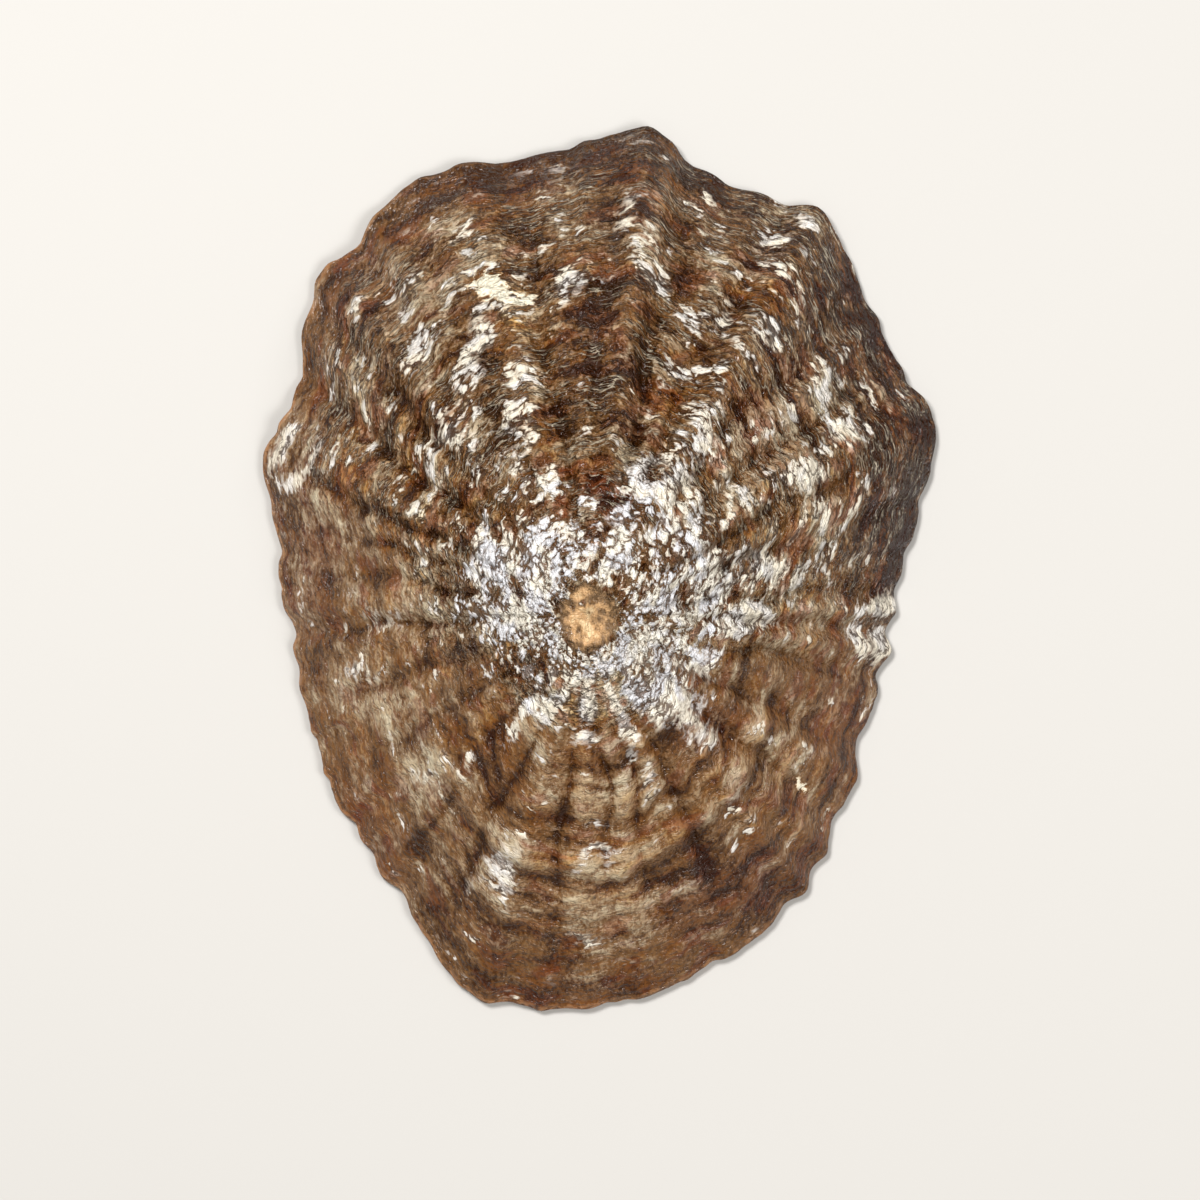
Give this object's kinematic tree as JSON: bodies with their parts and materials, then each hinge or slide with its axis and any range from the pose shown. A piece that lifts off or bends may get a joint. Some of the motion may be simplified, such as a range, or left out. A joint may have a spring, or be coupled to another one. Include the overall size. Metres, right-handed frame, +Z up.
{
  "type": "limpet shell",
  "caption": "Large brown limpet shell: a low ribbed cone, open below, with a wavy margin, stepped growth ledges and a worn tip.",
  "frame": {"origin": "middle of the shell's footprint, on the plane that its margin rests on", "axes": "+Z up through the tip side; +Y along the shell's length towards its broad tail end, so the narrow head end points to -Y; +X to the right seen from above"},
  "size_m": [0.0604, 0.0796, 0.0221],
  "materials": {
    "shell": "gloss"
  },
  "bodies": {
    "root": {"shell": "shell"}
  },
  "joints": []
}
